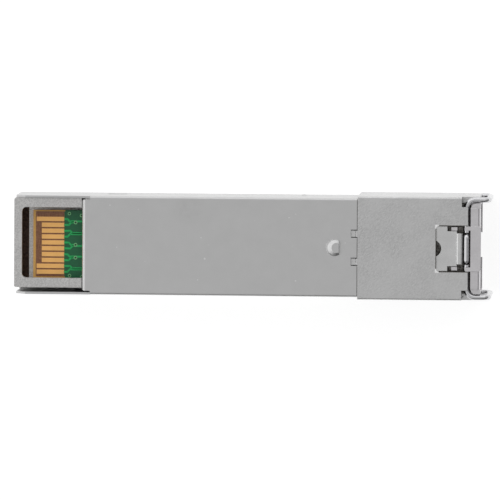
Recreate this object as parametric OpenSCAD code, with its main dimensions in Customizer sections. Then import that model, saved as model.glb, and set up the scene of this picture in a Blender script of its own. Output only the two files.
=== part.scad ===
// Pluggable copper transceiver module with an RJ45 socket and a bail-operated latch.
// The module lies on its label side, so its contact side faces +Z.
// +X runs from the edge connector towards the socket. Every module below is drawn in
// module coordinates: x from the rear end, z = 0 on the contact-side face of the cover.

/* [Body] */
// Width over the sheet cover
body_w = 13.4; // [13.2:0.1:13.6]
// Height from the contact-side face to the label-side face
body_h = 8.5; // [8.4:0.1:8.6]
// Thickness of the cover and sleeve sheet
sheet_t = 0.3; // [0.25:0.05:0.3]
// Outside radius of the cover's long bends
bend_r = 0.3; // [0.2:0.05:0.4]
// Outside radius of the lip at the opening
lip_r = 0.5; // [0.4:0.05:0.6]

/* [Length datums] */
// Rear end to the shoulder of the latch boss
shoulder_x = 44.2; // [44.2:0.1:45]
// Latch shoulder to the end of the circuit board
shoulder_to_board = 41.8; // [41.65:0.05:41.95]
// Latch shoulder to the edge of the contact-side opening
shoulder_to_opening = 34.6; // [34.3:0.1:34.9]
// Latch shoulder to the positive stop, the rear edge of the sleeve
shoulder_to_stop = 2.5; // [2.45:0.05:2.55]

/* [Circuit board] */
// Contact-side face to the board
board_drop = 2.25; // [2.15:0.05:2.35]
// Board thickness
board_t = 1.0; // [0.9:0.1:1.1]
// Width of the board's contact tongue
tongue_w = 9.2; // [9.1:0.1:9.3]
// Pitch of the edge contacts
pad_pitch = 0.8; // [0.8:0.1:0.8]
// Width of one edge contact
pad_w = 0.6; // [0.5:0.05:0.65]
// Number of edge contacts on each side
pad_count = 10; // [10:1:10]

/* [Front sleeve] */
// Width over the sleeve
sleeve_w = 14.0; // [13.9:0.1:14.1]
// Height over the sleeve
sleeve_h = 11.3; // [11.3:0.1:11.5]
// How far the sleeve stands above the contact-side face
sleeve_rise = 0.3; // [0.3:0.1:0.3]

/* [Socket] */
// Width of the plug cavity
cavity_w = 11.8; // [11.75:0.05:11.8]
// Height of the plug cavity
cavity_h = 6.95; // [6.9:0.05:6.95]
// Pitch of the eight contact wires
wire_pitch = 1.02; // [1.0:0.01:1.02]

/* [Latch] */
// Rearward travel of the latch slide
latch_travel = 0.58; // [0.5:0.02:0.58]
// Height of the latch boss
boss_h = 0.45; // [0.4:0.05:0.5]
// Radius of the round side of the latch boss
boss_r = 1.12; // [1:0.02:1.2]
// Distance of each actuator tine from the middle plane
tine_y = 1.9; // [1.8:0.02:1.96]

/* [Bail] */
// Bail wire diameter
bail_d = 0.76; // [0.72:0.01:0.78]
// Bend radius where the wire steps up from the pivot to the crank
crank_bend = 0.42; // [0.4:0.01:0.42]

/* [Hidden] */
$fn = 48;

gap = 0.02;
half_w = body_w / 2;
board_x = shoulder_x - shoulder_to_board;
opening_x = shoulder_x - shoulder_to_opening;
stop_x = shoulder_x + shoulder_to_stop;
board_top = -board_drop;
board_bottom = board_top - board_t;

// Rear end of the housing
skirt_t = 0.7;
rear_bar = 1.05;
frame_z = -0.35;
case_y = [-half_w + 0.9, half_w - 0.32];
tray_y = 5.3;
floor_z = -7.3;
flange_z = -body_h + 0.55;
shoulder_z = board_bottom - 2.0;
shoulder_start = 1.6;
end_wall = 0.45;
window_y = [-4.5, 5.1];
collar = [stop_x + 0.55, stop_x + 1.9];

// Board features
board_end = 49.3;
board_y = 5.2;
edge_bevel = [0.55, 0.3];
pad_rise = 0.05;
pad_end = board_x + 4.25;
long_pad = board_x + 0.5;
short_pad = board_x + 1.2;
row_shift = 0.2;
post_at = [[12.5, 4.0], [33.5, 4.0]];
post_pin_r = 0.7;

// Sleeve and socket
sleeve_y = sleeve_w / 2;
sleeve_bottom = sleeve_rise - sleeve_h;
sleeve_end = stop_x + 14.1;
panel_end = stop_x + 14.95;
panel_y = 5.65;
cheek_end = stop_x + 16.55;
cheek_z = [-10.05, -1.2];
latch_window = [stop_x + 10.65, 3.1];
slot_half = 1.7;
shield_t = 0.2;
shield_y = sleeve_y - sheet_t - 0.05;
shield_top = -1.4;
shield_bottom = sleeve_bottom + sheet_t + 0.05;
shield_rear = 49.5;
neck_x = sleeve_end - 0.1;
neck_y = 6.15;
label_end = stop_x + 15.15;
face_x = stop_x + 16.6;
frame_bottom = -10.05;
cavity_y = cavity_w / 2;
cavity_top = -2.6;
cavity_bottom = cavity_top - cavity_h;
wire_z = cavity_top - 0.3;
bar_x = stop_x + 15.3;
bar_top = 0.05;
bar_y = 5.5;
bar_chamfer = 0.3;
groove_z = -2.0;

// Latch and bail
pivot = [stop_x + 14.75, -0.74];
bail_r = bail_d / 2;
crank_half = 1.4;
crank_sin = 0.96;
crank_cos = 0.28;
crank_angle = acos(crank_cos);
crank_e = 2 * crank_bend * (1 - crank_cos);
crank_end = crank_half + 2 * crank_bend * crank_sin;
arm_y = 6.6;
corner_bend = 1.15;
arm_bend = 0.85;
arm_front = 64.4;
bar_bend = 0.8;
cross_bar = [stop_x + 15.8, -10.62];
ridge = [stop_x + 13.35, stop_x + 14.21];
ridge_y = 2.1;
slide_z = [-0.45, -0.05];
slide_y = 3.05;
neck_slide_y = 2.38;
slide_rear = stop_x + 0.65;
tine_tip = stop_x - 0.25;
tine_room = 0.07;
slot_x = stop_x + 12.17;
spring_x = [50.42, 53.98];
spring_z = -0.94;
spring_y = 1.6;
spring_r = 0.4;
spring_wire = 0.13;

overall_l = arm_front + bail_r;

steel = [0.68, 0.68, 0.69];
zinc = [0.66, 0.66, 0.66];
chrome = [0.8, 0.8, 0.82];
gold = [0.88, 0.65, 0.35];
green = [0.05, 0.38, 0.22];
black = [0.1, 0.1, 0.11];
ivory = [0.85, 0.84, 0.8];

// Points of an arc in the plane, from angle a0 to a1
function arc(c, r, a0, a1, n = 8) =
    [for (i = [0:n]) c + r * [cos(a0 + (a1 - a0) * i / n), sin(a0 + (a1 - a0) * i / n)]];

// Rectangle between two corners with all four corners rounded
function round_rect(a, b, r, n = 6) = concat(
    arc([b[0] - r, b[1] - r], r, 0, 90, n),
    arc([a[0] + r, b[1] - r], r, 90, 180, n),
    arc([a[0] + r, a[1] + r], r, 180, 270, n),
    arc([b[0] - r, a[1] + r], r, 270, 360, n));

function along(p, i) =
    let (a = p[max(i - 1, 0)], b = p[min(i + 1, len(p) - 1)])
    (b - a) / norm(b - a);

// Outline of a strip of width w that follows the points p
function strip(p, w) = concat(
    [for (i = [0:len(p) - 1]) p[i] + w / 2 * [-along(p, i)[1], along(p, i)[0]]],
    [for (i = [len(p) - 1:-1:0]) p[i] - w / 2 * [-along(p, i)[1], along(p, i)[0]]]);

module place() {
    translate([-overall_l / 2, 0, -sleeve_bottom]) children();
}

module slab(x, y, z) {
    translate([x[0], y[0], z[0]]) cube([x[1] - x[0], y[1] - y[0], z[1] - z[0]]);
}

// A slab that is symmetric about the middle plane
module mid_slab(x, y, z) {
    slab(x, [-y, y], z);
}

module both_sides() {
    children();
    mirror([0, 1, 0]) children();
}

// A profile in (y, z) drawn along x
module along_x(x) {
    translate([x[0], 0, 0]) rotate([90, 0, 90]) linear_extrude(x[1] - x[0]) children();
}

// A profile in (x, z) drawn along y
module along_y(y) {
    translate([0, y[1], 0]) rotate([90, 0, 0]) linear_extrude(y[1] - y[0]) children();
}

// A profile in (x, y) drawn along z
module along_z(z) {
    translate([0, 0, z[0]]) linear_extrude(z[1] - z[0]) children();
}

// Die-cast tray with the rear frame, the floor under the label and the collar in the sleeve
module housing() {
    lug = [13.0, 14.3];
    color(zinc) place() {
        difference() {
            union() {
                along_z([flange_z, frame_z])
                    polygon(round_rect([0, case_y[0]], [collar[0] + 0.1, case_y[1]], 0.25));
                along_z([-body_h, flange_z]) polygon(round_rect([0, -half_w], [collar[0] + 0.1, half_w], 0.4));
                mid_slab(collar, sleeve_y - sheet_t - gap, [sleeve_bottom + sheet_t + gap, -gap]);
                both_sides() slab(lug, [tray_y + 0.1, half_w - 0.12], [-5.9, -5.1]);
            }
            mid_slab([opening_x - 0.4, collar[0]], tray_y, [floor_z, 1]);
            mid_slab([collar[0] - 0.1, collar[1] + 1], tray_y, [floor_z, -1.25]);
            mid_slab([-1, opening_x], tray_y, [shoulder_z, frame_z - skirt_t]);
            mid_slab([end_wall, shoulder_start], tray_y, [-body_h + 0.6, shoulder_z + 0.1]);
            along_z([-2, 1]) polygon(round_rect([rear_bar, window_y[0]], [opening_x, window_y[1]], 0.6));
            mid_slab([opening_x - 0.4, opening_x + 0.1], half_w, [-1.45, 1]);
            mid_slab([collar[0] - 0.1, collar[1] + 1], slide_y + 0.1, [slide_z[0] - 0.05, 1]);
            mid_slab([12, 42], 5.25, [-body_h - 1, -body_h + 0.15]);
            mid_slab([stop_x - 0.2, collar[0]], half_w + 1, [frame_z - 0.1, 1]);
        }
        for (p = post_at) both_sides() translate([p[0], p[1], 0]) {
            translate([0, 0, floor_z - 0.1]) cylinder(h = board_bottom - floor_z + 0.08, r = 1.2);
            translate([0, 0, floor_z]) cylinder(h = -1.95 - floor_z, r = post_pin_r);
        }
    }
}

// Cross-section of the cover: a channel with rounded bends
module cover_channel(z_low) {
    polygon(concat(
        [[half_w, z_low]],
        arc([half_w - bend_r, -bend_r], bend_r, 0, 90),
        arc([-half_w + bend_r, -bend_r], bend_r, 90, 180),
        [[-half_w, z_low], [-half_w + sheet_t, z_low], [-half_w + sheet_t, -sheet_t]],
        [[half_w - sheet_t, -sheet_t], [half_w - sheet_t, z_low]]));
}

// D-shaped boss: a long ramp at the rear, and a flat shoulder that the cage's latch catches
module latch_boss() {
    top_r = boss_r - 0.42;
    intersection() {
        hull() {
            translate([shoulder_x - 0.63, 0, -0.1]) cylinder(h = 0.1, r = boss_r, $fn = 32);
            translate([shoulder_x - 0.5, 0, 0.1]) cylinder(h = 0.1, r = boss_r - 0.06, $fn = 32);
            translate([shoulder_x - 0.3, 0, boss_h - 0.05]) cylinder(h = 0.05, r = top_r, $fn = 32);
        }
        slab([0, shoulder_x], [-3, 3], [-1, 1]);
    }
}

// Bent lip that closes the end of the cover at the opening
module cover_lip(web_start, lip_y) {
    lip_low = -1.3;
    rear = web_start - lip_r;
    intersection() {
        along_y([-lip_y, lip_y]) polygon(concat(
            [[web_start + 0.1, 0]],
            arc([web_start, -lip_r], lip_r, 90, 180),
            [[rear, lip_low], [rear + sheet_t, lip_low]],
            arc([web_start, -lip_r], lip_r - sheet_t, 180, 90),
            [[web_start + 0.1, -sheet_t]]));
        along_z([-2, 1]) polygon(round_rect([rear, -lip_y], [web_start + 2, lip_y], 0.35));
    }
}

// Sheet cover: the contact-side web, two long side walls and the lip at the opening
module bottom_cover() {
    wall_low = flange_z + 0.05;
    cover_end = stop_x + 0.5;
    web_start = opening_x + 0.15;
    bend_start = opening_x + 0.75;
    lip_y = half_w - 0.5;
    tine_pocket = [tine_tip - latch_travel - tine_room, tine_y - 0.54, tine_y + 0.54];
    color(steel) place() {
        difference() {
            union() {
                along_x([bend_start, cover_end]) cover_channel(wall_low);
                mid_slab([web_start, bend_start + 0.1], lip_y, [-sheet_t, 0]);
                both_sides() along_y([half_w - sheet_t, half_w]) polygon([
                    [0.2, wall_low], [bend_start + 0.1, wall_low], [bend_start + 0.1, -bend_r],
                    [bend_start, -0.12], [1.5, -0.12], [0.2, -1.35]]);
                cover_lip(web_start, lip_y);
                latch_boss();
                both_sides() intersection() {
                    translate([39.1, half_w - 0.43, -6]) sphere(r = 0.6);
                    slab([38, 40], [half_w - 0.1, half_w + 1], [-7, -5]);
                }
            }
            both_sides() slab([12.4, 14.9], [half_w - 1, half_w + 1], [-6.0, -5.0]);
            both_sides() slab([tine_pocket[0], cover_end + 1], [tine_pocket[1], tine_pocket[2]], [-1, 1]);
            mid_slab([stop_x + 0.02, cover_end + 1], slide_y + 0.1, [-1, 1]);
        }
    }
}

// Sheet sleeve round the socket: window for the latch slide, side cheeks and a seat for the bail's corners
module front_sleeve() {
    inner_low = sleeve_bottom + sheet_t;
    inner_side = sleeve_y - sheet_t;
    seat_x = [sleeve_end - 0.1, sleeve_end + 1.1];
    color(steel) place() {
        difference() {
            union() {
                along_x([stop_x, sleeve_end])
                    polygon(round_rect([-sleeve_y, sleeve_bottom], [sleeve_y, sleeve_rise], 0.25));
                mid_slab([stop_x + 1, panel_end], panel_y, [0, sleeve_rise]);
                mid_slab([stop_x + 1, label_end], panel_y, [sleeve_bottom, inner_low]);
                both_sides() slab([sleeve_end - 1, cheek_end], [inner_side, sleeve_y], cheek_z);
            }
            along_x([stop_x - 1, sleeve_end + 5])
                polygon(round_rect([-inner_side, inner_low], [inner_side, 0], 0.05));
            along_z([-0.5, 1]) polygon(round_rect(
                [latch_window[0], -latch_window[1]], [panel_end + 2, latch_window[1]], 0.4));
            mid_slab([sleeve_end + 0.1, panel_end + 5], slot_half, [sleeve_bottom - 1, inner_low + 0.5]);
        }
        both_sides() slab(seat_x, [neck_y + gap, inner_side + 0.1], [cheek_z[1] - 0.25, cheek_z[1]]);
    }
}

// Blank label in the recess of the label side
module label() {
    color(ivory) place()
        along_z([-body_h + 0.04, -body_h + 0.15]) polygon(round_rect([12.2, -5.05], [41.8, 5.05], 0.6));
}

// Circuit board: bevelled contact tongue, wider body, and holes for the housing's posts
module circuit_board() {
    mid_z = board_top - board_t / 2;
    color(green) place() difference() {
        union() {
            along_y([-tongue_w / 2, tongue_w / 2]) polygon([
                [board_x, mid_z + board_t / 2 - edge_bevel[1]], [board_x + edge_bevel[0], board_top],
                [12, board_top], [12, board_bottom], [board_x + edge_bevel[0], board_bottom],
                [board_x, mid_z - board_t / 2 + edge_bevel[1]]]);
            mid_slab([opening_x + 0.6, board_end], board_y, [board_bottom, board_top]);
        }
        for (p = post_at) both_sides()
            translate([p[0], p[1], -5]) cylinder(h = 5, r = post_pin_r + 0.06);
    }
}

// One row of gold contacts; long ones make first
module pad_row(shift, long_ones, z) {
    for (i = [0:pad_count - 1]) {
        y = shift + ((pad_count - 1) / 2 - i) * pad_pitch;
        x = len(search(i, long_ones)) > 0 ? long_pad : short_pad;
        slab([x, pad_end], [y - pad_w / 2, y + pad_w / 2], z);
    }
}

module edge_contacts_lower() {
    color(gold) place() pad_row(-row_shift, [0, 8, 9], [board_top, board_top + pad_rise]);
}

module edge_contacts_upper() {
    color(gold) place() pad_row(row_shift, [0, 3, 6, 9], [board_bottom - pad_rise, board_bottom]);
}

// A flat package with a pin-one dimple, on either face of the board
module chip(x, y, z) {
    difference() {
        slab(x, y, z);
        translate([x[0] + 1, y[0] + 1, z[1] - 0.08]) cylinder(h = 1, r = 0.3);
    }
}

module phy_chip() {
    color(black) place() chip([22, 31], [-4.5, 4.5], [board_top, board_top + 0.9]);
}

module thermal_pad() {
    color([0.55, 0.6, 0.68]) place()
        along_z([board_top + 0.9, -sheet_t - gap]) polygon(round_rect([23.5, -3.2], [30, 3.2], 0.5));
}

module memory_chip() {
    color(black) place() {
        slab([15, 19.4], [-1.5, 1.5], [board_bottom - 1.0, board_bottom - 0.1]);
        for (i = [0:3]) both_sides()
            slab([15.5 + i * 1.0, 15.9 + i * 1.0], [1.5, 2.3], [board_bottom - 0.25, board_bottom]);
    }
}

module crystal() {
    color(chrome) place() {
        slab([36, 39.2], [-1.25, 1.25], [board_top, board_top + 0.3]);
        along_z([board_top + 0.3, board_top + 0.7]) polygon(round_rect([36.15, -1.1], [39.05, 1.1], 0.3));
    }
}

module regulator() {
    color(black) place() {
        slab([22, 25], [-3.2, -1.6], [board_bottom - 1.1, board_bottom - 0.1]);
        for (x = [22.35, 23.3, 24.25])
            slab([x, x + 0.4], [-4.1, -3.2], [board_bottom - 0.3, board_bottom]);
        slab([23.3, 23.7], [-1.6, -0.7], [board_bottom - 0.3, board_bottom]);
    }
}

module power_inductor() {
    color([0.3, 0.3, 0.32]) place() difference() {
        along_z([board_bottom - 1.5, board_bottom]) polygon(round_rect([26.5, -1.6], [30.5, 2.4], 0.6));
        translate([28.5, 0.4, board_bottom - 2]) cylinder(h = 0.7, r = 1.2);
    }
}

// Multilayer capacitors round the chip, on the contact side
module ceramic_capacitors() {
    color([0.72, 0.58, 0.42]) place() for (i = [0:5]) both_sides()
        slab([15 + i * 0.95, 15.5 + i * 0.95], [2.2, 3.2], [board_top, board_top + 0.5]);
}

module chip_resistors() {
    color([0.16, 0.16, 0.18]) place() for (i = [0:6])
        slab([40.5, 41.5], [-4.05 + i * 1.2, -3.55 + i * 1.2], [board_top, board_top + 0.35]);
}

// Transformer block between the board and the socket
module magnetics() {
    color(black) place() {
        along_z([board_bottom - 3.6, board_bottom - 0.1]) polygon(round_rect([36, -4.3], [47, 4.3], 0.3));
        for (i = [0:9]) both_sides()
            slab([36.8 + i, 37.3 + i], [4.2, 4.9], [board_bottom - 0.3, board_bottom]);
    }
}

// Plastic body of the socket, open at the front, with the notch for the plug's latch
module jack_insulator() {
    x = [shield_rear + 0.1, neck_x - shield_t];
    color(black) place() difference() {
        mid_slab(x, shield_y - shield_t - gap, [shield_bottom + shield_t + gap, shield_top - shield_t - gap]);
        mid_slab([x[0] + 0.5, x[1] + 1], cavity_y, [cavity_bottom, cavity_top]);
        mid_slab([x[0] + 3, x[1] + 1], 3.15, [cavity_bottom - 0.7, cavity_bottom + 0.1]);
        mid_slab([x[0] - 1, x[0] + 1], 5.0, [wire_z - 0.25, -1.5]);
    }
}

// Bar across the front of the contact side: raised middle, lower rounded shoulders, chamfered front edge
module front_bar() {
    shoulder_r = 0.75;
    shoulder_top = bar_top - 0.3;
    corner = [bar_x + shoulder_r, neck_y - shoulder_r];
    intersection() {
        union() {
            along_z([shield_top - 0.1, shoulder_top]) polygon(concat(
                arc(corner, shoulder_r, 180, 90),
                [[face_x, neck_y], [face_x, -neck_y]],
                arc([corner[0], -corner[1]], shoulder_r, -90, -180)));
            mid_slab([bar_x, face_x], bar_y, [shield_top - 0.1, bar_top]);
        }
        along_y([-sleeve_y, sleeve_y]) polygon([
            [bar_x - 1, shield_top - 1], [face_x, shield_top - 1], [face_x, bar_top - bar_chamfer],
            [face_x - 0.1, bar_top - 0.1], [face_x - bar_chamfer, bar_top], [bar_x - 1, bar_top]]);
    }
}

// Metal shield: box round the insulator, narrower neck, front frame, slide guides and the bail retainer
module jack_shield() {
    inside_y = shield_y - shield_t;
    top_in = shield_top - shield_t;
    low_in = shield_bottom + shield_t;
    retainer = [stop_x + 14.5, face_x + 0.1];
    color(zinc) place() difference() {
        union() {
            mid_slab([shield_rear, neck_x], shield_y, [shield_bottom, shield_top]);
            mid_slab([neck_x - 0.1, label_end], neck_y, [shield_bottom, shield_top]);
            mid_slab([label_end - 0.1, face_x], neck_y, [frame_bottom, shield_top]);
            front_bar();
            along_z([bar_top - 0.02, sleeve_rise])
                polygon(round_rect([retainer[0], -slide_y], [retainer[1], slide_y], 0.3));
            both_sides() slab([stop_x + 12.7, stop_x + 14.2], [2.45, 2.95], [shield_top - 0.1, -0.12]);
            both_sides() slab([spring_x[0] - 0.3, spring_x[0]], [spring_y - 0.55, spring_y + 0.55],
                [shield_top - 0.1, -0.55]);
        }
        mid_slab([shield_rear - 1, neck_x - shield_t], inside_y, [low_in, top_in]);
        mid_slab([neck_x - 1, face_x + 1], cavity_y, [cavity_bottom, cavity_top]);
        mid_slab([neck_x - 1, face_x + 1], 3.15, [cavity_bottom - 0.3, cavity_bottom + 0.1]);
        mid_slab([neck_x + 0.2, face_x + 1], slot_half, [shield_bottom - 1, cavity_bottom]);
        mid_slab([retainer[0] - 1, bar_x], 2.5, [bar_top - 0.5, sleeve_rise + 1]);
        mid_slab([retainer[0] - 1, bar_x], slide_y + 1, [shield_top + 0.2, bar_top]);
        mid_slab([neck_x + 0.25, bar_x], neck_y - 0.25, [groove_z, shield_top + 0.1]);
        mid_slab([shield_rear - 1, shield_rear + 0.5], 5.0, [wire_z - 0.25, top_in + 0.1]);
    }
}

// Comb that spaces the contact wires
module contact_carrier() {
    x = [50.7, 53.9];
    color(ivory) place() {
        mid_slab(x, 4.9, [wire_z - 0.9, wire_z - 0.17]);
        for (i = [-4:4])
            slab(x, [i * wire_pitch - 0.27, i * wire_pitch + 0.27], [wire_z - 0.2, cavity_top - gap]);
    }
}

// Eight spring wires from the board to the plug
module jack_contacts() {
    wire = 0.3;
    color(gold) place() for (i = [0:7]) {
        y = (i - 3.5) * wire_pitch;
        along_y([y - wire / 2, y + wire / 2]) polygon(strip([
            [48.2, -2.1], [49.4, -2.1], [50.2, wire_z], [58.5, wire_z], [59.0, wire_z - 0.2],
            [59.0, wire_z - 0.5], [58.5, wire_z - 0.7], [54.8, wire_z - 1.9]], wire));
    }
}

// Sheet slide: tines at the rear, guide slots and the ridge that the bail's crank pushes
module latch_slide() {
    tine_rear = stop_x - 1.4;
    tine_half = 0.45;
    low = [-0.65, -0.33];
    color(steel) place() {
        difference() {
            union() {
                mid_slab([slide_rear, slot_x], slide_y, slide_z);
                mid_slab([slot_x - 0.1, ridge[0] + 0.1], neck_slide_y, slide_z);
                along_y([-ridge_y, ridge_y]) polygon(concat(
                    [[ridge[0], slide_z[0]], [ridge[0] + 0.3, -1.1], [ridge[1], -1.1]],
                    arc([ridge[1] - 0.3, -0.1], 0.3, 0, 90),
                    arc([ridge[0] + 0.3, -0.1], 0.3, 90, 180)));
            }
            translate([stop_x + 10.2, 0, -1]) cylinder(h = 2, r = 1.13);
        }
        both_sides() {
            along_y([tine_y - tine_half, tine_y + tine_half]) polygon([
                [tine_rear, low[0]], [stop_x + 0.25, low[0]], [stop_x + 0.4, slide_z[0]],
                [slide_rear + 0.1, slide_z[0]], [slide_rear + 0.1, slide_z[1]], [stop_x + 0.1, slide_z[1]],
                [stop_x - 0.05, -0.02], [tine_tip + 0.05, -0.02], [tine_tip, -0.1], [tine_tip - 0.05, low[1]],
                [tine_rear, low[1]]]);
            slab([spring_x[1] + gap, spring_x[1] + 0.32], [spring_y - 0.45, spring_y + 0.45],
                [-1.3, slide_z[0] + 0.1]);
        }
    }
}

// Envelope of a compression spring between the shield's stop and the slide's tab
module spring_tube() {
    translate([spring_x[0], spring_y, spring_z]) rotate([0, 90, 0]) difference() {
        cylinder(h = spring_x[1] - spring_x[0], r = spring_r);
        translate([0, 0, -1]) cylinder(h = 10, r = spring_r - spring_wire);
    }
}

module return_spring_left() {
    color(chrome) place() spring_tube();
}

module return_spring_right() {
    color(chrome) place() mirror([0, 1, 0]) spring_tube();
}

// Quarter or part turn of the bail wire, in the plane of the first two axes
module wire_bend(r, a) {
    rotate_extrude(angle = a) translate([r, 0]) circle(r = bail_r);
}

module wire_run(from, to) {
    v = to - from;
    l = norm(v);
    translate(from) rotate([0, acos(v[2] / l), atan2(v[1], v[0])]) cylinder(h = l, r = bail_r);
}

// One side of the bail, from the end of the crank to the end of the cross bar
module bail_half() {
    px = pivot[0];
    pz = pivot[1];
    bz = cross_bar[1];
    // S-bend from the crank down to the pivot line
    translate([px, crank_half, pz + crank_e - crank_bend]) rotate([90, 0, 90])
        rotate([0, 0, 90 - crank_angle]) wire_bend(crank_bend, crank_angle);
    translate([px, crank_end, pz + crank_bend]) rotate([90, 0, 90])
        rotate([0, 0, 270 - crank_angle]) wire_bend(crank_bend, crank_angle);
    wire_run([px, crank_end, pz], [px, arm_y - corner_bend, pz]);
    translate([px + corner_bend, arm_y - corner_bend, pz]) rotate([0, 0, 90]) wire_bend(corner_bend, 90);
    wire_run([px + corner_bend, arm_y, pz], [arm_front - arm_bend, arm_y, pz]);
    translate([arm_front - arm_bend, arm_y, pz - arm_bend]) rotate([90, 0, 0]) wire_bend(arm_bend, 90);
    wire_run([arm_front, arm_y, pz - arm_bend], [arm_front, arm_y, bz + arm_bend]);
    translate([arm_front - arm_bend, arm_y, bz + arm_bend]) rotate([90, 0, 0])
        rotate([0, 0, -90]) wire_bend(arm_bend, 90);
    wire_run([arm_front - arm_bend, arm_y, bz], [cross_bar[0] + bar_bend, arm_y, bz]);
    translate([cross_bar[0] + bar_bend, arm_y - bar_bend, bz]) rotate([0, 0, 90]) wire_bend(bar_bend, 90);
}

// Wire handle: crank in the middle, pivot runs beside it, two arms and a cross bar
module bail() {
    crank_z = pivot[1] + crank_e;
    bar_half = arm_y - bar_bend;
    color(chrome) place() {
        wire_run([pivot[0], -crank_half, crank_z], [pivot[0], crank_half, crank_z]);
        wire_run([cross_bar[0], -bar_half, cross_bar[1]], [cross_bar[0], bar_half, cross_bar[1]]);
        both_sides() bail_half();
    }
}

housing();
bottom_cover();
front_sleeve();
label();
circuit_board();
edge_contacts_lower();
edge_contacts_upper();
phy_chip();
thermal_pad();
memory_chip();
crystal();
regulator();
power_inductor();
ceramic_capacitors();
chip_resistors();
magnetics();
jack_insulator();
jack_shield();
contact_carrier();
jack_contacts();
latch_slide();
return_spring_left();
return_spring_right();
bail();
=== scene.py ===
"""Pluggable copper transceiver module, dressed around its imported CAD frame."""
import math

import bpy
from mathutils import Matrix, Vector


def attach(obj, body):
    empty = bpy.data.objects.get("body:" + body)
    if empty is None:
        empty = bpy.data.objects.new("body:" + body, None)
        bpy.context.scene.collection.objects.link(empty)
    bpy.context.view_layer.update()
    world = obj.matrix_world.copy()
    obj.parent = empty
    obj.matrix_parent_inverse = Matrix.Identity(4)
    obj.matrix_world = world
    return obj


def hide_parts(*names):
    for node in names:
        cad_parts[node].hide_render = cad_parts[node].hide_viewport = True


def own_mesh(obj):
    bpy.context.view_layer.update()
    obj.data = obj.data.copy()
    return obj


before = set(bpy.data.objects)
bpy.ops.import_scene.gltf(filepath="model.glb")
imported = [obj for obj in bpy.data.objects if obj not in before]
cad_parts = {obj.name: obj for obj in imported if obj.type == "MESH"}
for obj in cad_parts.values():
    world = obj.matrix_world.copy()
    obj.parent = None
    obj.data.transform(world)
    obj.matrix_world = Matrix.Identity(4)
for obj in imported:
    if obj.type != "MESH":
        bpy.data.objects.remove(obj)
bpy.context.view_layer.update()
scene = bpy.context.scene

MM = 0.001
SENSOR = 36.0
VIEW_PIXELS = 500
HALF_LENGTH = 32.39
FACE_Z = 11.0
SLEEVE_START = 46.7 - HALF_LENGTH
WINDOW_START = 57.35 - HALF_LENGTH
WINDOW_HALF = 3.1
MASK_START = 6.67 - HALF_LENGTH
WELL_X = (0.4 - HALF_LENGTH, 9.79 - HALF_LENGTH)
WELL_Z = (2.9, 5.7)
DECK_Z = (8.9, 9.93)
DECK_END = 62.04 - HALF_LENGTH


def row(x, y, z):
    """Row-frame point, in metres, of a module point: mm, x from the rear end, z from the contact-side face."""
    return Vector((x - HALF_LENGTH, y, z + FACE_Z)) * MM


# ---------------------------------------------------------------- node helpers

class Nodes:
    """Builds one material's node tree. Positions are the object's own, in millimetres."""

    def __init__(self, name):
        self.material = bpy.data.materials.new(name)
        self.material.use_nodes = True
        self.tree = self.material.node_tree
        self.tree.nodes.clear()
        self.shader = self.tree.nodes.new("ShaderNodeBsdfPrincipled")
        output = self.tree.nodes.new("ShaderNodeOutputMaterial")
        self.tree.links.new(self.shader.outputs[0], output.inputs["Surface"])
        self.place = self.tree.nodes.new("ShaderNodeTexCoord").outputs["Object"]

    def link(self, value, socket):
        if isinstance(value, bpy.types.NodeSocket):
            self.tree.links.new(value, socket)
        else:
            socket.default_value = value

    def scaled(self, stretch, turn=0.0):
        node = self.tree.nodes.new("ShaderNodeMapping")
        node.vector_type = "TEXTURE"
        node.inputs["Scale"].default_value = [MM / s for s in stretch]
        node.inputs["Rotation"].default_value = (0, 0, turn)
        self.link(self.place, node.inputs["Vector"])
        return node.outputs[0]

    def noise(self, scale, detail=4.0, roughness=0.55, stretch=(1, 1, 1), turn=0.0):
        node = self.tree.nodes.new("ShaderNodeTexNoise")
        node.inputs["Scale"].default_value = scale
        node.inputs["Detail"].default_value = detail
        node.inputs["Roughness"].default_value = roughness
        self.link(self.scaled(stretch, turn), node.inputs["Vector"])
        return node.outputs["Fac"]

    def axis(self, index):
        node = self.tree.nodes.new("ShaderNodeSeparateXYZ")
        self.link(self.scaled((1, 1, 1)), node.inputs[0])
        return node.outputs[index]

    def math(self, operation, a, b=0.0):
        node = self.tree.nodes.new("ShaderNodeMath")
        node.operation = operation
        self.link(a, node.inputs[0])
        self.link(b, node.inputs[1])
        return node.outputs[0]

    def remap(self, value, low, high, to_low=0.0, to_high=1.0):
        node = self.tree.nodes.new("ShaderNodeMapRange")
        self.link(value, node.inputs["Value"])
        for key, number in zip(("From Min", "From Max", "To Min", "To Max"), (low, high, to_low, to_high)):
            self.link(number, node.inputs[key])
        return node.outputs["Result"]

    def beyond(self, value, limit, soft=0.05):
        """1 where value is over limit, 0 below it."""
        return self.remap(value, limit - soft, limit + soft)

    def spot(self, x, y, radius):
        """1 at a place on the face, fading to 0 at the radius."""
        dx = self.math("SUBTRACT", self.axis(0), x)
        dy = self.math("SUBTRACT", self.axis(1), y)
        far = self.math("SQRT", self.math("ADD", self.math("MULTIPLY", dx, dx), self.math("MULTIPLY", dy, dy)))
        return self.remap(far, 0.0, radius, 1.0, 0.0)

    def mix(self, factor, a, b):
        node = self.tree.nodes.new("ShaderNodeMix")
        node.data_type = "RGBA"
        self.link(factor, node.inputs[0])
        self.link(a, node.inputs[6])
        self.link(b, node.inputs[7])
        return node.outputs[2]

    def bump(self, height, distance, normal=None):
        node = self.tree.nodes.new("ShaderNodeBump")
        node.inputs["Distance"].default_value = distance * MM
        self.link(height, node.inputs["Height"])
        if normal is not None:
            self.link(normal, node.inputs["Normal"])
        return node.outputs[0]

    def rounded(self, radius):
        node = self.tree.nodes.new("ShaderNodeBevel")
        node.samples = 4
        node.inputs["Radius"].default_value = radius * MM
        return node.outputs[0]

    def set(self, name, value):
        self.link(value, self.shader.inputs[name])


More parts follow.
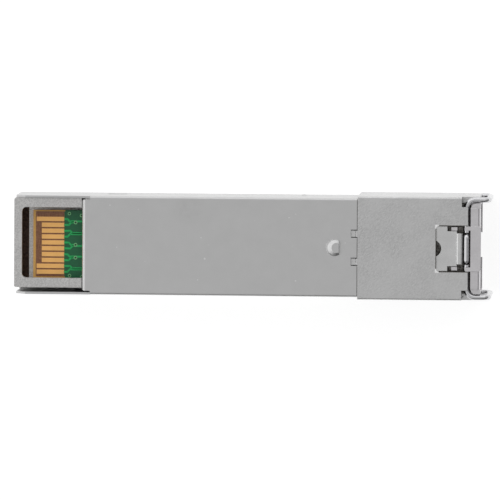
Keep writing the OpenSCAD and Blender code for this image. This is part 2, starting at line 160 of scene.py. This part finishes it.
def rgb(r, g, b):
    """Linear colour from 0-255 display values."""
    def linear(c):
        c = c / 255
        return c / 12.92 if c <= 0.04045 else ((c + 0.055) / 1.055) ** 2.4
    return (linear(r), linear(g), linear(b), 1.0)


def shade(colour, k):
    return tuple(c * k for c in colour[:3]) + (1.0,)


def surface(name, colour, rough, metallic=0.0, grain=0.01, grain_scale=14.0, wear=0.12, edge=0.05,
            stretch=(1, 1, 1), turn=0.0):
    """Base finish: two scales of mottling, uneven gloss, fine grain and softened edges."""
    n = Nodes(name)
    broad = n.noise(0.45, 3.0)
    fine = n.noise(grain_scale, 3.0, 0.6, stretch, turn)
    tone = n.remap(n.math("ADD", n.math("MULTIPLY", broad, 0.6), n.math("MULTIPLY", fine, 0.4)), 0.35, 0.65)
    n.colour = n.mix(tone, shade(colour, 1.0 - wear), colour)
    n.set("Base Color", n.colour)
    n.gloss = n.remap(n.noise(2.2, 4.0, 0.6, stretch, turn), 0.3, 0.7, rough * 0.85, rough * 1.15)
    n.set("Roughness", n.gloss)
    n.shader.inputs["Metallic"].default_value = metallic
    n.set("Normal", n.bump(fine, grain, n.rounded(edge)))
    return n


# ---------------------------------------------------------------- materials

def cover_metal():
    """Smooth plated sheet with one darker smudge, a few specks and a painted shadow line where the sleeve starts.
    """
    n = surface("plated_cover", rgb(205, 205, 205), 0.38, 1.0, 0.004, 7.0, 0.04, 0.08)
    smudge = n.math("MULTIPLY", n.spot(-8.6, 5.2, 2.6), n.remap(n.noise(0.9), 0.35, 0.65))
    soiled = n.mix(n.math("MULTIPLY", smudge, 0.16), n.colour, rgb(120, 119, 117))
    specks = n.math("MULTIPLY", n.beyond(n.noise(2.1, 0.0), 0.86, 0.01), 0.5)
    # painted shadow: a dark line on the cover's face along the sleeve's rear edge
    sleeve_edge_shadow = n.beyond(n.axis(0), SLEEVE_START - 0.10, 0.03)
    on_face = n.beyond(n.axis(2), FACE_Z - 0.06, 0.02)
    speckled = n.mix(specks, soiled, rgb(245, 245, 245))
    n.set("Base Color", n.mix(n.math("MULTIPLY", sleeve_edge_shadow, on_face), speckled, rgb(96, 94, 92)))
    return n.material


def sleeve_metal():
    """Plated sheet with a diagonal orange peel; the slide's window has a band of painted shade along its edge and
    painted highlights at its corners.
    """
    n = surface("plated_sleeve", rgb(205, 205, 205), 0.34, 1.0, 0.05, 3.2, 0.05, 0.08, (0.8, 1.7, 1), 0.75)
    peel = n.remap(n.noise(4.4, 3.0, 0.7, (0.7, 1.6, 1), 0.75), 0.38, 0.62)
    patch = n.remap(n.noise(0.25, 2.0), 0.35, 0.6, 0.35, 1.0)
    skin = n.mix(n.math("MULTIPLY", peel, patch), rgb(209, 209, 209), rgb(192, 192, 192))
    across = n.math("ABSOLUTE", n.axis(1))
    beside = n.math("SUBTRACT", across, WINDOW_HALF)
    behind = n.math("SUBTRACT", WINDOW_START, n.axis(0))
    outside = n.math("MAXIMUM", beside, behind)
    # painted shade: a dark band along the window's edge; painted highlights: white glints at its corners
    rim_shade = n.remap(outside, 0.05, 0.12, 1.0, 0.0)
    corner = n.math("MULTIPLY", n.beyond(beside, -0.38, 0.05), n.beyond(behind, -0.38, 0.05))
    rim_shaded_skin = n.mix(rim_shade, skin, rgb(92, 88, 84))
    glint = n.math("MULTIPLY", n.remap(outside, 0.10, 0.2, 1.0, 0.0), corner)
    n.set("Base Color", n.mix(glint, rim_shaded_skin, rgb(255, 255, 255)))
    return n.material


def die_cast():
    """Speckled die casting, with painted shade, darker and less metallic, in the well in front of the board."""
    n = surface("die_cast_zinc", rgb(214, 213, 212), 0.46, 1.0, 0.05, 5.0, 0.08, 0.03)
    n.colour = n.mix(n.remap(n.noise(5.0, 2.0, 0.7), 0.42, 0.58), n.colour, rgb(190, 189, 188))
    # painted shade: dark brown, less metallic colour in the well in front of the board
    well_shade_colour = n.mix(n.remap(n.noise(3.0), 0.35, 0.65), rgb(74, 48, 36), rgb(108, 80, 62))
    low = n.math("MULTIPLY", n.beyond(n.axis(2), WELL_Z[0], 0.05), n.math("LESS_THAN", n.axis(2), WELL_Z[1]))
    along = n.math("MULTIPLY", n.beyond(n.axis(0), WELL_X[0], 0.01), n.math("LESS_THAN", n.axis(0), WELL_X[1]))
    across = n.math("LESS_THAN", n.math("ABSOLUTE", n.axis(1)), 5.35)
    well = n.math("MULTIPLY", n.math("MULTIPLY", low, along), across)
    n.set("Base Color", n.mix(well, n.colour, well_shade_colour))
    n.set("Metallic", n.remap(well, 0.0, 1.0, 1.0, 0.2))
    return n.material


def board_laminate():
    """Green mask over glass fibre: bare round the contacts, amber on the tongue's bevel and sides."""
    n = surface("circuit_board", rgb(0, 96, 56), 0.42, 0.0, 0.003, 7.0, 0.12, 0.02)
    weave = n.math("MULTIPLY", n.noise(4.0, 1.0, 0.5, (0.3, 3, 1)), n.noise(4.0, 1.0, 0.5, (3, 0.3, 1)))
    bare = n.mix(n.remap(weave, 0.15, 0.35), rgb(112, 70, 44), rgb(146, 100, 68))
    amber = n.mix(n.noise(5.0), rgb(184, 134, 58), rgb(214, 168, 88))
    uncovered = n.mix(n.beyond(n.axis(0), MASK_START, 0.03), bare, n.colour)
    beside = n.beyond(n.math("ABSOLUTE", n.axis(1)), 4.45, 0.03)
    tongue_side = n.math("MULTIPLY", beside, n.math("LESS_THAN", n.axis(0), -25.6))
    bevelled = n.math("LESS_THAN", n.axis(0), -29.62)
    n.set("Base Color", n.mix(n.math("MAXIMUM", tongue_side, bevelled), uncovered, amber))
    return n.material


def gold(name):
    n = surface(name, rgb(255, 196, 118), 0.34, 0.55, 0.002, 10.0, 0.14, 0.03, (0.3, 2.5, 1))
    scrape = n.beyond(n.noise(9.0, 1.0, 0.5, (0.12, 3.0, 1)), 0.62, 0.03)
    n.set("Roughness", n.math("ADD", n.gloss, n.math("MULTIPLY", scrape, 0.12)))
    return n.material


def shield_metal():
    """Plated shield, darkened with mottled painted shade on the deck under the slide and in the bail's groove."""
    n = surface("shield_metal", rgb(220, 218, 220), 0.36, 1.0, 0.02, 5.0, 0.14, 0.06)
    # painted shade: mottled dark colour on the deck under the slide and in the bail's groove
    depth = n.math("MULTIPLY", n.beyond(n.axis(2), DECK_Z[0], 0.02), n.math("LESS_THAN", n.axis(2), DECK_Z[1]))
    deck = n.math("MULTIPLY", depth, n.math("LESS_THAN", n.axis(0), DECK_END))
    deck_shade_colour = n.mix(n.remap(n.noise(4.0, 3.0, 0.7), 0.40, 0.60), rgb(66, 63, 60), rgb(132, 129, 126))
    n.set("Base Color", n.mix(deck, n.colour, deck_shade_colour))
    return n.material


def bright_wire():
    n = surface("bright_wire", rgb(214, 214, 216), 0.17, 1.0, 0.004, 5.0, 0.12, 0.02)
    rubbed = n.beyond(n.noise(6.0, 2.0), 0.62, 0.05)
    n.set("Roughness", n.math("ADD", n.gloss, n.math("MULTIPLY", rubbed, 0.12)))
    return n.material


def with_terminals(name, body, index, centre, half, rough=0.55):
    """A moulded or fired body whose ends or leads, beyond half from the centre along one axis, are tinned."""
    n = surface(name, body, rough, 0.0, 0.006, 18.0, 0.2, 0.03)
    across = n.math("ABSOLUTE", n.axis(index))
    lead = n.beyond(n.math("ABSOLUTE", n.math("SUBTRACT", across, centre)), half, 0.01)
    n.set("Base Color", n.mix(lead, n.colour, rgb(205, 204, 200)))
    n.set("Metallic", lead)
    n.set("Roughness", n.mix(lead, (rough,) * 3 + (1,), (0.28, 0.28, 0.28, 1)))
    return n.material


def mottled(name, colour, rough, metallic=0.0, grain=0.006, scale=14.0, wear=0.15, edge=0.05, coat=0.0):
    n = surface(name, colour, rough, metallic, grain, scale, wear, edge)
    n.shader.inputs["Coat Weight"].default_value = coat
    return n.material


def paint(node, material):
    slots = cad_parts[node].data.materials
    slots.clear()
    slots.append(material)


MATERIALS = {
    "housing": die_cast(),
    "bottom_cover": cover_metal(),
    "front_sleeve": sleeve_metal(),
    "label": mottled("label_stock", rgb(232, 232, 229), 0.62, 0.0, 0.004, 22.0, 0.05, 0.04),
    "circuit_board": board_laminate(),
    "edge_contacts_lower": gold("edge_gold"),
    "edge_contacts_upper": gold("edge_gold_upper"),
    "phy_chip": mottled("chip_black", rgb(44, 44, 46), 0.55, 0.0, 0.008, 24.0, 0.2),
    "thermal_pad": mottled("silicone_pad", rgb(142, 152, 168), 0.75, 0.0, 0.02, 6.0, 0.12, 0.1),
    "memory_chip": with_terminals("memory_black", rgb(42, 42, 44), 1, 0.0, 1.52),
    "crystal": mottled("can_metal", rgb(200, 200, 198), 0.25, 1.0, 0.002, 12.0, 0.1, 0.06),
    "regulator": with_terminals("regulator_black", rgb(42, 42, 44), 1, 2.4, 0.82),
    "power_inductor": mottled("ferrite", rgb(72, 72, 75), 0.6, 0.0, 0.01, 20.0, 0.22, 0.06),
    "ceramic_capacitors": with_terminals("ceramic_tan", rgb(176, 140, 100), 1, 2.7, 0.3),
    "chip_resistors": with_terminals("resistor_black", rgb(36, 36, 40), 0, 8.61, 0.3),
    "magnetics": with_terminals("magnetics_black", rgb(38, 38, 40), 1, 0.0, 4.32),
    "jack_insulator": mottled("insulator", rgb(40, 40, 42), 0.35, 0.0, 0.004, 16.0, 0.15, 0.06, 0.2),
    "jack_shield": shield_metal(),
    "contact_carrier": mottled("carrier", rgb(222, 219, 208), 0.5, 0.0, 0.004, 14.0, 0.08, 0.04),
    "jack_contacts": gold("contact_gold"),
    "latch_slide": mottled("slide_steel", rgb(218, 218, 218), 0.3, 1.0, 0.02, 5.0, 0.10, 0.1),
    "bail": bright_wire(),
}
for node_name, node_material in MATERIALS.items():
    paint(node_name, node_material)


# ---------------------------------------------------------------- extra pieces

class Shape:
    """Collects prisms and tubes (in row metres) into one mesh piece."""

    def __init__(self, name, material):
        self.name = name
        self.material = material
        self.points = []
        self.faces = []

    def prism(self, outline, low, high):
        """Upright prism over an outline of module (x, y) points, between two module heights."""
        first = len(self.points)
        count = len(outline)
        for z in (low, high):
            self.points += [row(x, y, z) for x, y in outline]
        self.faces.append(tuple(first + i for i in reversed(range(count))))
        self.faces.append(tuple(first + count + i for i in range(count)))
        for i in range(count):
            j = (i + 1) % count
            self.faces.append((first + i, first + j, first + count + j, first + count + i))

    def disc(self, x, y, radius, low, high, sides=16):
        self.prism([(x + radius * math.cos(math.tau * i / sides), y + radius * math.sin(math.tau * i / sides))
                    for i in range(sides)], low, high)

    def ribbon(self, path, width, low, high):
        """A flat strip along a path of module (x, y) points, with round joints."""
        for (ax, ay), (bx, by) in zip(path, path[1:]):
            length = math.hypot(bx - ax, by - ay)
            nx, ny = -(by - ay) / length * width / 2, (bx - ax) / length * width / 2
            corners = [(ax - nx, ay - ny), (bx - nx, by - ny), (bx + nx, by + ny), (ax + nx, ay + ny)]
            self.prism(corners, low, high)
        for x, y in path[1:-1]:
            self.disc(x, y, width / 2, low, high - 0.002)

    def tube(self, path, radius, sides=8):
        """A round wire along row points."""
        first = len(self.points)
        for i, point in enumerate(path):
            ahead = path[min(i + 1, len(path) - 1)] - path[max(i - 1, 0)]
            side = ahead.cross(Vector((1, 0, 0))).normalized()
            up = side.cross(ahead).normalized()
            for k in range(sides):
                a = math.tau * k / sides
                self.points.append(point + radius * (math.cos(a) * side + math.sin(a) * up))
        for i in range(len(path) - 1):
            for k in range(sides):
                a, b = first + i * sides + k, first + i * sides + (k + 1) % sides
                self.faces.append((a, a + sides, b + sides, b))
        last = first + (len(path) - 1) * sides
        self.faces.append(tuple(first + k for k in range(sides)))
        self.faces.append(tuple(last + k for k in reversed(range(sides))))

    def make(self, body="module", smooth=False):
        mesh = bpy.data.meshes.new(self.name)
        mesh.from_pydata(self.points, [], self.faces)
        mesh.materials.append(self.material)
        for face in mesh.polygons:
            face.use_smooth = smooth
        piece = bpy.data.objects.new(self.name, mesh)
        scene.collection.objects.link(piece)
        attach(piece, body)
        return piece


PAD_PITCH = 0.8
PAD_END = 6.65
FIRST_PAD_Y = 3.4
COPPER = (-2.24, -2.2)


def board_copper():
    """Masked traces that leave the contacts, and the ringed vias they end in, each with a dark disc of painted
    shade at its centre.
    """
    masked = surface("masked_copper", rgb(20, 176, 92), 0.4, 0.0, 0.002, 7.0, 0.12, 0.02).material
    ring = mottled("via_ring", rgb(120, 190, 130), 0.35, 0.5, 0.002, 12.0, 0.12, 0.02)
    # painted shade: each via's open centre is drawn as a dark disc
    hole_shade = mottled("via_hole_shade", rgb(14, 40, 28), 0.6, 0.0, 0.002, 12.0, 0.12, 0.02)
    traces = Shape("board_traces", masked)
    rings = Shape("via_rings", ring)
    hole_shades = Shape("via_hole_shades", hole_shade)
    for i in range(10):
        y = FIRST_PAD_Y - i * PAD_PITCH
        bend = 0.35 if i % 2 else -0.3
        turn_x = PAD_END + 0.45 + 0.18 * (i % 3)
        stop_x = 8.2 if i % 3 == 1 else 10.4
        traces.ribbon([(PAD_END - 0.02, y), (turn_x, y), (turn_x + abs(bend), y + bend), (stop_x, y + bend)],
                      0.26, *COPPER)
        if i % 3 == 1:
            rings.disc(stop_x, y + bend, 0.26, COPPER[0], COPPER[1] + 0.004)
            hole_shades.disc(stop_x, y + bend, 0.13, COPPER[0], COPPER[1] + 0.008)
    corner_holes = ((7.35, 4.15), (9.0, 3.9), (7.4, -4.3), (9.1, -4.45))
    for x, y in corner_holes:
        rings.disc(x, y, 0.24, COPPER[0], COPPER[1] + 0.004)
        hole_shades.disc(x, y, 0.12, COPPER[0], COPPER[1] + 0.008)
    traces.make()
    rings.make()
    hole_shades.make()


SPRING_X = (50.42, 53.98)
SPRING_Y = 1.6
SPRING_Z = -0.94
SPRING_R = 0.4
SPRING_WIRE = 0.13


def return_spring(name, side):
    """Compression spring with closed end coils."""
    steel = mottled(name + "_steel", rgb(206, 206, 208), 0.22, 1.0, 0.001, 12.0, 0.1, 0.01)
    coil = Shape(name, steel)
    turns = 9
    steps = turns * 16
    wire_r = SPRING_WIRE / 2
    start, end = SPRING_X[0] + wire_r, SPRING_X[1] - wire_r
    closed = SPRING_WIRE * 1.05
    path = []
    for i in range(steps + 1):
        t = turns * i / steps
        if t < 1:
            x = start + closed * t
        elif t > turns - 1:
            x = end - closed * (turns - t)
        else:
            x = start + closed + (end - start - 2 * closed) * (t - 1) / (turns - 2)
        a = math.tau * t
        mean = SPRING_R - wire_r - 0.005
        path.append(row(x, side * SPRING_Y + mean * math.cos(a), SPRING_Z + mean * math.sin(a)))
    coil.tube(path, wire_r * MM)
    piece = coil.make(smooth=True)
    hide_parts(name)
    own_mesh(piece)
    return piece


board_copper()
return_spring("return_spring_left", 1)
return_spring("return_spring_right", -1)


# ---------------------------------------------------------------- floor, light and camera

def floor():
    """Pale, faintly glowing table."""
    mesh = bpy.data.meshes.new("floor")
    half = 1.5
    corners = [(-half, -half, 0), (half, -half, 0), (half, half, 0), (-half, half, 0)]
    mesh.from_pydata(corners, [], [(0, 1, 2, 3)])
    plane = bpy.data.objects.new("floor", mesh)
    scene.collection.objects.link(plane)
    n = Nodes("floor_white")
    n.shader.inputs["Base Color"].default_value = (0.35, 0.35, 0.35, 1)
    n.shader.inputs["Roughness"].default_value = 0.9
    n.shader.inputs["Specular IOR Level"].default_value = 0.0
    n.shader.inputs["Emission Color"].default_value = (1, 1, 1, 1)
    n.shader.inputs["Emission Strength"].default_value = 0.82
    mesh.materials.append(n.material)


def camera():
    """The photograph's view: 1 m above the contact side, tipped slightly towards the socket and +Y."""
    distance = 1.0
    pixels_per_metre = 7380
    toward = Vector((0.0628, 0.0634, 1.0)).normalized()
    target = Vector((-0.00027, -0.00043, 0.011))
    roll = 0.0059
    data = bpy.data.cameras.new("camera")
    data.sensor_width = SENSOR
    data.lens = SENSOR * pixels_per_metre * distance / VIEW_PIXELS
    data.clip_start = 0.01
    data.clip_end = 20
    holder = bpy.data.objects.new("camera", data)
    right = Vector((toward.z, 0, -toward.x)).normalized()
    up = toward.cross(right)
    turn = Matrix((right, up, toward)).transposed().to_4x4() @ Matrix.Rotation(roll, 4, "Z")
    holder.matrix_world = Matrix.Translation(target + toward * distance) @ turn
    scene.collection.objects.link(holder)
    scene.camera = holder


def studio():
    """Soft surround: dim overhead, bright at mid height towards the rear and +Y, dim towards the front and -Y."""
    world = bpy.data.worlds.new("studio")
    world.use_nodes = True
    tree = world.node_tree
    background = tree.nodes["Background"]

    def node(kind, **settings):
        made = tree.nodes.new(kind)
        for key, value in settings.items():
            setattr(made, key, value)
        return made

    def arithmetic(operation, a, b):
        made = node("ShaderNodeMath", operation=operation)
        for socket, value in zip(made.inputs, (a, b)):
            if isinstance(value, bpy.types.NodeSocket):
                tree.links.new(value, socket)
            else:
                socket.default_value = value
        return made.outputs[0]

    def smooth_range(value, low, high, to_low, to_high):
        made = node("ShaderNodeMapRange", interpolation_type="SMOOTHSTEP")
        tree.links.new(value, made.inputs["Value"])
        for key, number in zip(("From Min", "From Max", "To Min", "To Max"), (low, high, to_low, to_high)):
            made.inputs[key].default_value = number
        return made.outputs[0]

    parts = node("ShaderNodeSeparateXYZ")
    tree.links.new(node("ShaderNodeTexCoord").outputs["Generated"], parts.inputs[0])
    x, y, z = parts.outputs
    ring = arithmetic("MULTIPLY", smooth_range(z, 0.05, 0.30, 0.0, 1.0), smooth_range(z, 0.72, 0.93, 1.0, 0.0))
    left = smooth_range(x, -0.75, 0.15, 0.62, 0.0)
    back = smooth_range(y, -0.15, 0.75, 0.0, 0.62)
    zenith = smooth_range(z, 0.80, 1.0, 0.66, 0.62)
    near = smooth_range(y, -0.80, -0.35, 0.10, 1.0)
    front = smooth_range(x, 0.35, 0.80, 1.0, 0.35)
    shaded = arithmetic("MULTIPLY", arithmetic("MULTIPLY", zenith, near), front)
    light = arithmetic("ADD", arithmetic("MULTIPLY", ring, arithmetic("MAXIMUM", left, back)), shaded)
    tree.links.new(light, background.inputs["Strength"])
    background.inputs["Color"].default_value = (1, 1, 1, 1)
    scene.world = world


floor()
camera()
studio()
scene.view_settings.view_transform = "Standard"
